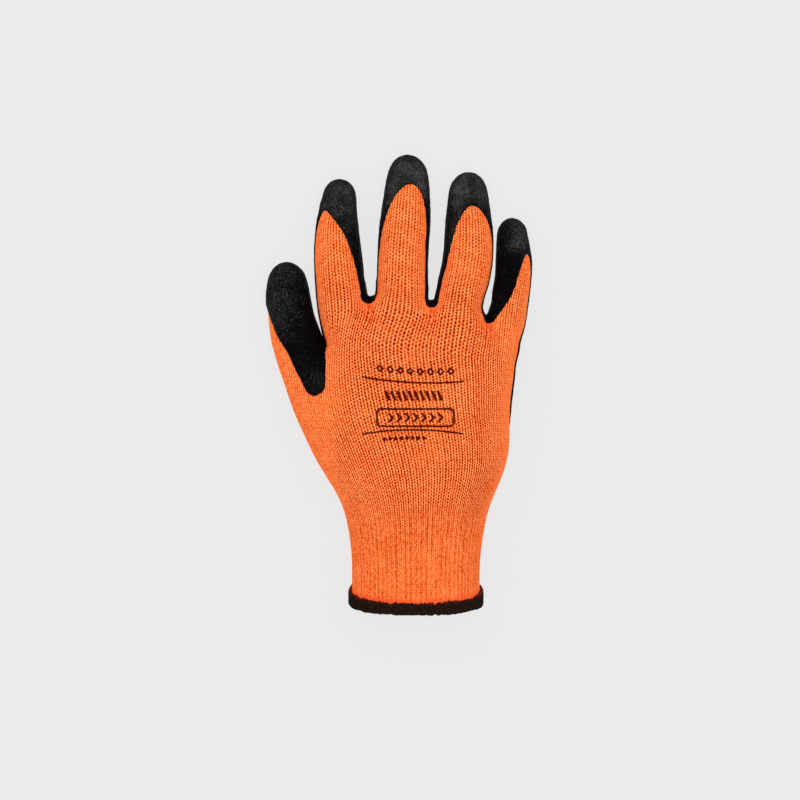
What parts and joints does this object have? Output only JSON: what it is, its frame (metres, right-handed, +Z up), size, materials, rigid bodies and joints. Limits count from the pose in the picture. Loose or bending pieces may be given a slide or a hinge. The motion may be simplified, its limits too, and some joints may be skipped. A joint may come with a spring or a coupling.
{
  "type": "latex coated grip glove",
  "caption": "Right-hand seamless knit work glove with a latex grip coating on palm, fingertips and finger sides, a ribbed cuff and an overlocked binding, lying palm down.",
  "frame": {"origin": "middle of the flat face on which the coated palm rests, at floor height", "axes": "+Y along the fingers away from the cuff, +X across the palm away from the thumb, +Z up through the back of the hand"},
  "size_m": [0.1453, 0.2491, 0.0367],
  "materials": {
    "knit": "matte",
    "latex": "satin",
    "binding": "matte"
  },
  "bodies": {
    "root": {"knit_liner": "knit", "latex_coating": "latex", "cuff_binding": "binding"}
  },
  "joints": []
}
